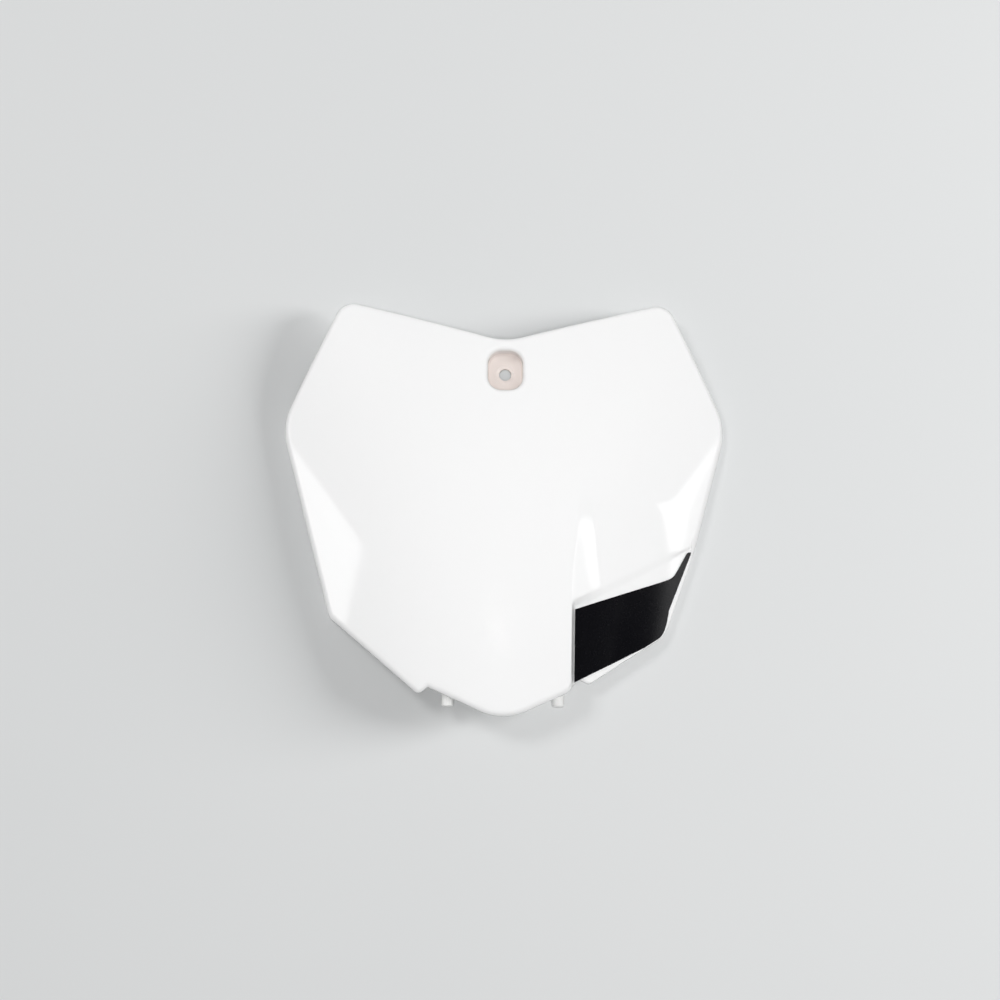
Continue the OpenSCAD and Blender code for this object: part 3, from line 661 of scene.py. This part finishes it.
def peg(x):
    """Profile of radius against distance, turned about the peg's axis, closed at both ends."""
    length = PEG_END + SHELF_Y + SHELF_THICK / 2
    root = SHELF_THICK / 2
    profile = np.array([
        [0, 0], [PEG_RADIUS, 0], [PEG_RADIUS + PEG_FILLET, root], [PEG_RADIUS + 0.15, root + 0.2],
        [PEG_RADIUS, root + PEG_FILLET], [PEG_RADIUS, length - PEG_BEVEL],
        [PEG_RADIUS - 0.1, length - 0.6], [PEG_RADIUS - PEG_BEVEL, length], [0, length]])
    turn = np.linspace(0, 2 * np.pi, PEG_POINTS, endpoint=False)
    r, along = profile[:, :1], profile[:, 1:]
    return band(np.stack([x + r * np.cos(turn), SHELF_Y + root - along + 0 * turn,
                          -PEG_BACK + r * np.sin(turn)], -1))


boss_base = -POCKET_DEPTH - POCKET_FLOOR
web_base, shelf_middle = boss_base + WEB_SETBACK, SHELF_Y + SHELF_THICK / 2
beside, below = POCKET_HALF + BOSS_WALL / 2
parts = [shelf(), web("x", 0, POCKET_Y - below, POCKET_Y - below - WEB_REACH, web_base)]
for side in (-1, 1):
    x = side * PEG_GAP / 2
    parts += [web("y", POCKET_Y, side * beside, side * (beside + WEB_REACH), web_base), peg(x),
              web("x", x, shelf_middle, shelf_middle + PEG_WEB, -PEG_BACK)]
parts = [weld([p]) for p in parts]
parts = [(p, f if volume(p, f) > 0 else f[:, ::-1]) for p, f in parts]
print("behind the face:", [round(volume(p, f)) for p, f in parts], "mm3,",
      [open_edges(f) for p, f in parts], "open edges")

# %% [markdown]
# The black panel is a thin sheet that lies on its seat a hair above it, so it borrows the
# board's own height function. Its outline is a long slanting edge that turns up into a narrow
# tongue along the side. It could be cut from the board's surface, but then it would have no
# edge of its own, and that edge is what shows it to be glued on.

# %% The black panel
GLUE, SHEET, GAP, SHEET_EDGE, EDGE_ROUND = 0.2, 0.5, 0.4, 0.14, 0.3
TOP_SOFT, TIP_SOFT, LOW_MARGIN, SIDE_MARGIN, TIP_MARGIN = 3, 1.6, 0.3, 2.8, 1.0
MARGIN_START, MARGIN_BLEND, NUDGE = 2, 8, 0.05
REACH, REACH_STEP, LAST_HEIGHT, LEAST_HEIGHT, CROWDING = 20, 0.02, 0.9, 0.1, 1.25
PANEL_DROP, TONGUE_FOOT, HEEL, TONGUE_END = 50.4, 93.0, 88.8, STEP_LEAVE[1] - 4.3
TOP_RISE, TONGUE_RISE, HEEL_RISE = (np.tan(np.radians(a)) for a in (19.0, 63.0, 27.0))
panel_left = CREST + STEEP + GAP
tongue_y = -PANEL_DROP + (TONGUE_FOOT - panel_left) * TOP_RISE


def panel_top(x):
    """Soft maximum of the long edge and the tongue, which is the soft minimum of the tongue's
    inner edge and its level end: (a + b +- root of (a - b)^2 + r^2) / 2."""
    a = -PANEL_DROP + (x - panel_left) * TOP_RISE
    b = tongue_y + (x - TONGUE_FOOT) * TONGUE_RISE
    c = (b + TONGUE_END - np.hypot(b - TONGUE_END, TIP_SOFT)) / 2
    return np.minimum(seat_line(x) - SEAT_EDGE / 2 - GAP, (a + c + np.hypot(a - c, TOP_SOFT)) / 2)


def panel_low(x):
    """A straight line that bridges the notch, then the outline moved inwards by a margin, which
    grows round the corner and shrinks again up the side."""
    y = low_y(x)
    slope = (low_y(x + NUDGE) - y) / NUDGE
    up = np.clip((y - STEP_CORNER[1]) / (STEP_LEAVE[1] - STEP_CORNER[1]), 0, 1)
    margin = mix(LOW_MARGIN, mix(SIDE_MARGIN, TIP_MARGIN, up),
                 ease((y - STEP_CORNER[1] + MARGIN_START) / MARGIN_BLEND))
    heel = -HEEL + (x - panel_left) * HEEL_RISE
    return np.where(x < STEP_WING[0], heel, np.maximum(heel, y + margin * np.hypot(1, slope)))


# The panel ends on the right where it is less than the last height from edge to edge.
reach = np.arange(TONGUE_FOOT, TONGUE_FOOT + REACH, REACH_STEP)
panel_right = reach[np.argmax(panel_top(reach) - panel_low(reach) < LAST_HEIGHT)]
PANEL_COLS, PANEL_ROWS = 150, 56
px = mix(panel_left, panel_right, 1 - (1 - np.linspace(0, 1, PANEL_COLS + 1)) ** CROWDING)


def panel_points(inset, drop):
    """Grid of the panel moved inwards by inset, at drop below its upper face."""
    x = mix(panel_left + inset, panel_right - inset, (px - panel_left) / (panel_right - panel_left))
    slopes = ((edge(x + NUDGE) - edge(x - NUDGE)) / (2 * NUDGE) for edge in (panel_low, panel_top))
    low_slant, high_slant = (np.hypot(1, slope) for slope in slopes)
    low, high = panel_low(x) + inset * low_slant, panel_top(x) - inset * high_slant
    y = mix(low, np.maximum(high, low + LEAST_HEIGHT), np.linspace(0, 1, PANEL_ROWS + 1)[:, None])
    x = x + 0 * y
    return np.stack([x, y, front(x, y) + GLUE + SHEET - drop], -1)


def border(g):
    """The points round a whole grid as one loop."""
    return np.concatenate([g[0, :-1], g[:-1, -1], g[-1, :0:-1], g[:0:-1, 0]])


top_sheet, low_sheet = panel_points(SHEET_EDGE, 0), panel_points(0, SHEET)
rounding = SHEET_EDGE * EDGE_ROUND
sides = np.stack([border(g) for g in (top_sheet, panel_points(rounding, rounding),
                                      panel_points(0, SHEET_EDGE), low_sheet)])
sheet_faces = grid_faces(PANEL_ROWS + 1, PANEL_COLS + 1)
side_points, side_faces = band(sides)
panel_mesh = weld([(top_sheet.reshape(-1, 3), sheet_faces), (side_points, side_faces[:, ::-1]),
                   (low_sheet.reshape(-1, 3), sheet_faces[:, ::-1])])
print("panel:", len(panel_mesh[1]), "triangles,", open_edges(panel_mesh[1]), "open edges,",
      round(volume(*panel_mesh)), "mm3")

# %% [markdown]
# Now the arrays become Blender objects. A piece rides on the one body of this board and stands
# in for its solid, which is hidden. Smooth shading is right everywhere here, because each real
# edge has rows of its own.
#
# Two numbers travel with each point of the board for its material: how far it lies down in the
# pocket, which sets the painted warm light and painted shade there, and how much it belongs to
# the rear, which the mould leaves dull.

# %% Meshes into Blender
# Depth below the face where the plastic begins to turn dull, and over how much it does (mm).
DULL_FACE, DULL_RIM, RIM_ZONE, PAD = (1, 1.2), (4.4, 0.6), 3.5, 0.01


def make_piece(name, points, faces, slot, values=None):
    """One object at the origin, with its place in its mesh, smooth shaded."""
    mesh = bpy.data.meshes.new(name)
    mesh.from_pydata(placed(points).tolist(), [], faces.tolist())
    mesh.shade_smooth()
    for key, data in (values or {}).items():
        layer = mesh.attributes.new(key, "FLOAT", "POINT")
        layer.data.foreach_set("value", data.astype(np.float32))
    mesh.validate()
    mesh.update(calc_edges=True)
    piece = bpy.data.objects.new(name, mesh)
    bpy.context.scene.collection.objects.link(piece)
    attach(piece, "root")
    return piece


board_points, board_faces = stacked([skin, *parts])
bx, by, bz = board_points.T
depth = front(bx, by) - bz
in_pocket = ((np.abs(bx) <= POCKET_HALF[0] + PAD)
             & (np.abs(by - POCKET_Y) <= POCKET_HALF[1] + PAD) & (bz > boss_base - PAD))
# The share of the pocket's depth masks the painted glow and painted shade in the pocket.
pocket_shade_depth = np.where(in_pocket, np.clip(depth / POCKET_DEPTH, 0, 1), 0)
on_rim = np.min(np.abs(by[:, None] - np.stack([low_y(bx), high_y(bx)], 1)), 1) < RIM_ZONE
dull_face, dull_rim = (np.clip((depth - a) / b, 0, 1) for a, b in (DULL_FACE, DULL_RIM))
behind = np.where(on_rim, dull_rim, dull_face * (1 - in_pocket))

board = make_piece("number_board", board_points, board_faces, "white_plastic",
                   {"pocket_shade_depth": pocket_shade_depth, "behind": behind})
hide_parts(PLATE)
panel = make_piece("corner_panel", *panel_mesh, "black_panel")
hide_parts(PANEL)
print("board:", len(board_faces), "triangles; panel:", len(panel_mesh[1]), "triangles")

# %% [markdown]
# Materials are sums of simple patterns. Written with Blender's node calls, such a sum is long
# and hard to read, so a small class lets sockets be added and multiplied as numbers are. Any
# other node comes from one method that sets the node's options and then its inputs.

# %% A short way to write shader maths
class Socket:
    """A node's output that can be used in sums."""

    def __init__(self, tree, output):
        self.tree, self.output = tree, output

    def math(self, operation, *values):
        """A Math node of the operation on this socket and the values."""
        node = self.tree.nodes.new("ShaderNodeMath")
        node.operation = operation
        for slot, value in zip(node.inputs, (self, *values)):
            put(self.tree, slot, value)
        return Socket(self.tree, node.outputs[0])

    def __add__(self, other): return self.math("ADD", other)
    __radd__ = __add__
    def __mul__(self, other): return self.math("MULTIPLY", other)
    __rmul__ = __mul__
    def __sub__(self, other): return self.math("SUBTRACT", other)
    def __rsub__(self, other): return (self * -1) + other
    def __truediv__(self, other): return self.math("DIVIDE", other)
    def clipped(self): return self.math("MINIMUM", 1.0).math("MAXIMUM", 0.0)


def put(tree, slot, value):
    """Link a socket into an input, or set the input to a plain value."""
    if isinstance(value, Socket):
        tree.links.new(value.output, slot)
    else:
        slot.default_value = value


class Shader:
    """The node tree of a new material or of the world."""

    def __init__(self, tree):
        self.tree = tree
        tree.nodes.clear()

    def node(self, kind, inputs=None, output=0, **options):
        """A node of the kind: options first, then values or links by input name or number."""
        node = self.tree.nodes.new(kind)
        for key, value in options.items():
            setattr(node, key, value)
        for key, value in (inputs or {}).items():
            put(self.tree, node.inputs[key], value)
        return Socket(self.tree, node.outputs[output]) if len(node.outputs) else None

    def object_place(self):
        """Object coordinates, in metres."""
        return self.node("ShaderNodeTexCoord", output="Object")

    def xyz(self, vector):
        """The three numbers of a vector."""
        return [self.node("ShaderNodeSeparateXYZ", {"Vector": vector}, output=k)
                for k in range(3)]

    def noise(self, scale, detail=2.0, roughness=0.5):
        """Noise between 0 and 1 with about scale bumps to the metre."""
        return self.node("ShaderNodeTexNoise", {
            "Vector": self.object_place(), "Scale": scale, "Detail": detail,
            "Roughness": roughness})

    def value(self, name):
        """A number that travels with the mesh."""
        return self.node("ShaderNodeAttribute", output="Fac", attribute_name=name)

    def colours(self, factor, a, b):
        """Mix of two colours."""
        return self.node("ShaderNodeMix", {"Factor": factor, "A": a, "B": b}, "Result",
                         data_type="RGBA")


def material(name):
    """A new material with an empty tree."""
    mat = bpy.data.materials.new(name)
    mat.use_nodes = True
    return mat, Shader(mat.node_tree)


# %% [markdown]
# The board is moulded white plastic. Its face is glossy, with the long faint waves of a thin
# moulding and a very fine skin, and slightly less gloss where hands and cloths have been. Thick
# white plastic lets some light through and warms it, and the pocket lies in shade. Both are
# painted into the colour: a warmer, darker tint mixed in by depth in the pocket, which is
# painted glow and painted shade. A subsurface shader would give the glow, but slowly and not
# outside Blender. The rear is dull from the mould.

# %% White moulded plastic
def finish_plastic(s, base, rough, ior, height, strength, distance):
    """Principled shader with a fine bump, linked to the material's output."""
    bump = s.node("ShaderNodeBump",
                  {"Strength": strength, "Distance": distance, "Height": height})
    s.node("ShaderNodeOutputMaterial", {"Surface": s.node("ShaderNodeBsdfPrincipled", {
        "Base Color": base, "Roughness": rough, "IOR": ior, "Normal": bump})})


WHITE, CLOUD_WHITE = (0.93, 0.93, 0.93, 1), (0.91, 0.913, 0.92, 1)
# The warm, darker pocket colour is painted light and shade: glow through the plastic and shade in
# the recess.
POCKET_GLOW_AND_SHADE, REAR_WHITE = (0.79, 0.72, 0.685, 1), (0.86, 0.86, 0.85, 1)


def white_plastic():
    """Principled plastic: colour by side with painted glow and shade by depth, roughness by side
    and smudges, fine bump.
    """
    mat, s = material("moulded_white")
    pocket_shade_depth, behind = s.value("pocket_shade_depth"), s.value("behind")
    cloud = s.noise(18, 3)
    smudge = s.noise(55, 5, 0.6)
    fine = s.noise(2600, 2)
    wave = s.noise(22, 1)
    # Painted glow and painted shade: the colour turns warmer and darker down the pocket.
    glow_and_shade = (pocket_shade_depth * 1.25 - 0.1).clipped()
    base = s.colours(behind, WHITE, REAR_WHITE)
    base = s.colours((cloud - 0.45) * 0.25 * (1 - pocket_shade_depth), base, CLOUD_WHITE)
    base = s.colours(glow_and_shade, base, POCKET_GLOW_AND_SHADE)
    rough = (0.045 + smudge * 0.04) + behind * 0.33 + glow_and_shade * 0.25
    grain = fine * (0.012 + behind * 0.65) + wave * 0.8
    finish_plastic(s, base, rough, 1.49, grain, 0.12, 0.0004)
    return mat


board.data.materials.append(white_plastic())
print("material:", board.data.materials[0].name)

# %% [markdown]
# The panel is a black printed film under a clear layer: nearly no colour of its own, a sharp
# gloss, and a trace of unevenness from the glue below that only shows in reflections.

# %% Black panel film
BLACK, CLOUD_BLACK = (0.0016, 0.0016, 0.0026, 1), (0.0045, 0.0045, 0.006, 1)


def black_film():
    """Principled film: near black with a faint cloud, gloss with hairline dullness, soft bump."""
    mat, s = material("black_film")
    cloud = s.noise(60, 4)
    hair = s.noise(420, 3, 0.7)
    lumps = s.noise(140, 2)
    base = s.colours(cloud, BLACK, CLOUD_BLACK)
    finish_plastic(s, base, 0.2 + hair * 0.12, 1.45, lumps + hair * 0.15, 0.1, 0.0003)
    return mat


panel.data.materials.append(black_film())
print("material:", panel.data.materials[0].name)

# %% [markdown]
# The board lies on a plain pale sheet. A large plane is enough, with a faint mottle, and its
# own colour makes the grey of the background. The lamps leave its far parts uneven, so for the
# camera they pass into the even grey of the world, as a paper sweep does in a studio.

# %% The floor
FLOOR_HALF, FAR_GREY, FADE_FROM, FADE_WIDTH = 6.0, 0.75, 0.6, 0.8
PAPER, CLOUD_PAPER = (0.70, 0.714, 0.718, 1), (0.73, 0.738, 0.738, 1)


def floor_paper():
    """Rough paper of one pale grey, with a very faint cloud. The share of the far grey is the
    distance from the middle less where the fade begins, over its width, for camera rays alone."""
    mat, s = material("floor_paper")
    base = s.colours(s.noise(3, 2), PAPER, CLOUD_PAPER)
    paper = s.node("ShaderNodeBsdfPrincipled", {
        "Base Color": base, "Roughness": 0.9, "Specular IOR Level": 0.1})
    grey = s.node("ShaderNodeEmission", {"Color": (1.0, 1.0, 1.0, 1), "Strength": FAR_GREY})
    x, y, _ = s.xyz(s.object_place())
    away = ((x * x + y * y).math("SQRT") - FADE_FROM) / FADE_WIDTH
    share = away.clipped() * s.node("ShaderNodeLightPath", output="Is Camera Ray")
    s.node("ShaderNodeOutputMaterial", {"Surface": s.node("ShaderNodeMixShader", {
        0: share, 1: paper, 2: grey})})
    return mat


floor_mesh = bpy.data.meshes.new("floor")
floor_mesh.from_pydata([(x * FLOOR_HALF, y * FLOOR_HALF, 0)
                        for x, y in ((-1, -1), (1, -1), (1, 1), (-1, 1))], [], [(0, 1, 2, 3)])
floor = bpy.data.objects.new("floor", floor_mesh)
bpy.context.scene.collection.objects.link(floor)
floor_mesh.materials.append(floor_paper())
print("floor:", FLOOR_HALF * 2, "m wide")

# %% [markdown]
# In the photograph the gloss shows what hangs round the board: one soft box on each side, and
# the dark of the room between them, which keeps the black panel black. A white object needs
# these shapes, because they are all that draws its curves. They could be lamps, but the world
# can hold them as flat shapes on a ceiling, with edges exactly where the reflections end.
# Matt light is another matter: there the world is an even dome, which fills the pocket.

# %% The world: soft boxes and a dark ceiling
BOX_LIGHT, RING_LIGHT, DARK, DOME = 2.9, 0.6, 0.05, 0.14
BOX_CORNER, BOX_UPPER, BOX_LOWER = (0.90, -0.06), (1.24, 0.09), (1.36, -0.33)
BOX_FAR, BOX_STEP, BOX_DIM, BLUR = 2.2, 1.30, 0.35, 0.018
GLOW_FROM, GLOW_WIDTH, LEVEL = 0.85, 0.9, 0.03


def half_plane(px, py, a, b):
    """1 to the left of the line from a to b, 0 to its right, with a soft edge of BLUR."""
    dx, dy = b[0] - a[0], b[1] - a[1]
    length = float(np.hypot(dx, dy))
    signed = (py - a[1]) * (dx / length) - (px - a[0]) * (dy / length)
    return (signed / BLUR + 0.5).clipped()


def soft_box(px, py, far):
    """Product of three half planes: below the upper edge, above the lower one and before the
    far end."""
    upper = half_plane(px, py, BOX_UPPER, BOX_CORNER)
    lower = half_plane(px, py, BOX_CORNER, BOX_LOWER)
    return upper * lower * ((px * -1 + far) / BLUR + 0.5).clipped()


def studio():
    """Direction over its height gives a point on a ceiling one unit up. Glossy rays see the two
    boxes, the right one dimmer beyond a step, and a glow that grows outwards from the dark
    overhead. The camera sees one grey, and the other rays see the dome."""
    world = bpy.data.worlds.new("studio")
    world.use_nodes = True
    bpy.context.scene.world = world
    s = Shader(world.node_tree)
    direction = s.node("ShaderNodeTexCoord", output="Generated")
    x, y, z = s.xyz(direction)
    above = z.math("GREATER_THAN", LEVEL)
    px, py = x / z.math("MAXIMUM", LEVEL), y / z.math("MAXIMUM", LEVEL)
    away = (px * px + py * py).math("SQRT")
    glow = ((away - GLOW_FROM) / GLOW_WIDTH).clipped() * (RING_LIGHT - DARK) + DARK
    right = soft_box(px, py, BOX_STEP) * (1 - BOX_DIM) + soft_box(px, py, BOX_FAR) * BOX_DIM
    gloss = (glow + (right + soft_box(px * -1, py, BOX_FAR)) * BOX_LIGHT) * above
    camera_ray, glossy_ray = (s.node("ShaderNodeLightPath", output=k)
                              for k in ("Is Camera Ray", "Is Glossy Ray"))
    matt = above * DOME * (1 - camera_ray) + camera_ray * FAR_GREY
    strength = gloss * glossy_ray + matt * (1 - glossy_ray)
    s.node("ShaderNodeOutputWorld", {"Surface": s.node("ShaderNodeBackground", {
        "Color": (1.0, 1.0, 1.0, 1), "Strength": strength})})


studio()
print("world: boxes", BOX_LIGHT, "glow", RING_LIGHT, "dark", DARK, "dome", DOME)

# %% [markdown]
# The lamps give the matt light and the shadows, and are left out of the reflections, where the
# boxes stand for them. One hangs near the camera, so its own shadow hides behind the board. One
# from the upper left lets a short shadow fall below the chin and the wing. One low on the right
# throws the long soft shadow to the left. That lamp would burn out the right flank, so it
# lights the floor alone, and two others light the board alone. The last is a narrow spot that
# shines down the bolt hole onto the floor, which would be nearly black there without it.

# %% The lamps
SPOT_POWER, SPOT_BLEND = 4, 0.3


def hang_lamp(name, direction, distance, size, share, only=None, at=(0, 0, 0), cone=None):
    """A disc lamp aimed at a point, or with a cone a spot lamp. A disc's power is the wanted share
    of the light on the floor times pi squared times the distance squared over the cosine at the
    floor. A spot sends its power all round before the cone cuts it, so it needs four times that."""
    back = unit(np.array(direction, float))
    lamp = bpy.data.lights.new(name, "SPOT" if cone else "AREA")
    lamp.energy = float(share * np.pi ** 2 * distance ** 2 / back[2]) * (SPOT_POWER if cone else 1)
    if cone:
        lamp.spot_size, lamp.spot_blend = np.radians(cone), SPOT_BLEND
        lamp.shadow_soft_size = size / 2
    else:
        lamp.shape, lamp.size = "DISK", size
    lamp_object = bpy.data.objects.new(name, lamp)
    bpy.context.scene.collection.objects.link(lamp_object)
    across = unit(np.cross([0, 1, 0], back))
    lamp_object.matrix_world = Matrix.Translation(np.array(at) + back * distance) @ Matrix(
        np.stack([across, np.cross(back, across), back], 1).tolist()).to_4x4()
    lamp_object.visible_glossy = False
    if only:
        lit = bpy.data.collections.new(name + "_lit")
        for piece in only:
            lit.objects.link(piece)
        lamp_object.light_linking.receiver_collection = lit
    print(name, "lamp:", round(lamp.energy, 1), "W at", (back * distance).round(2))


hang_lamp("overhead", (-0.017, -0.167, 1), 2.4, 0.4, 0.37)
hang_lamp("upper_left", (-0.65, 0.6, 1), 1.9, 0.6, 0.17)
hang_lamp("low_right", (3.4, 0.45, 1), 2.6, 0.85, 0.34, [floor])
hang_lamp("face", (0.75, 0.1, 1), 2.0, 1.4, 0.30, [board, panel])
hang_lamp("fill", (-0.45, -0.5, 1), 2.0, 1.0, 0.10, [board, panel])
hang_lamp("bolt_hole", (-0.017, -0.195, 1), 1.0, 0.01, 0.36, [floor], hole["pos_m"], 2)

# %% [markdown]
# The camera looks down at the board from a little below its middle, as in the photograph. Its
# place and turn were found by fitting the symmetric outline and the two pegs to the picture,
# and the lens follows from the scale at that distance.

# %% The camera
camera = bpy.data.cameras.new("camera")
camera.sensor_width = 36.0
camera.lens = 74.0
camera.shift_x, camera.shift_y = -0.0047, 0.010
camera.clip_end = 50
camera_object = bpy.data.objects.new("camera", camera)
bpy.context.scene.collection.objects.link(camera_object)
camera_right, camera_up, camera_back = (unit(np.array(v)) for v in (
    [0.9998, 0.0069, 0.0181], [-0.0092, 0.9915, 0.1297], [-0.0171, -0.1299, 0.9914]))
camera_object.matrix_world = Matrix.Translation((-0.0188, -0.1467, 1.1247)) @ Matrix(
    np.stack([camera_right, camera_up, camera_back], 1).tolist()).to_4x4()
bpy.context.scene.camera = camera_object
bpy.context.scene.view_settings.view_transform = "Standard"
print("camera at (m):", [round(v, 4) for v in camera_object.matrix_world.translation])
